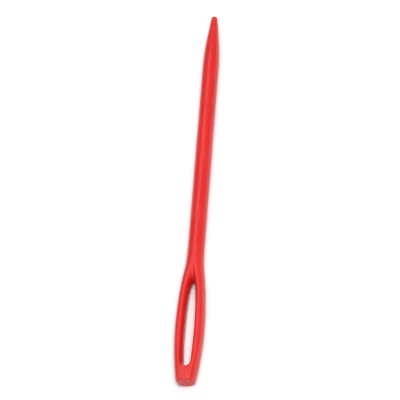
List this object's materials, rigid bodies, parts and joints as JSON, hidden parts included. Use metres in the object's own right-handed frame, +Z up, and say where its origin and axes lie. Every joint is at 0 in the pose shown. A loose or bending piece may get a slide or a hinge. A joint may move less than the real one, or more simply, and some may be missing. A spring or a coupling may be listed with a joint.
{
  "type": "yarn needle",
  "caption": "Blunt plastic yarn needle moulded in one piece: round shank, tapered point with a rounded end, and a long slender eye with a flat end.",
  "frame": {"origin": "middle of the needle's length and width, on the surface that it lies on", "axes": "+Y along the needle towards the point, +X across the eye, +Z up, square to the eye's opening"},
  "size_m": [0.0048, 0.07, 0.0027],
  "materials": {
    "red_plastic": "satin gloss, as moulded"
  },
  "bodies": {
    "root": {"needle": "red_plastic"}
  },
  "joints": []
}
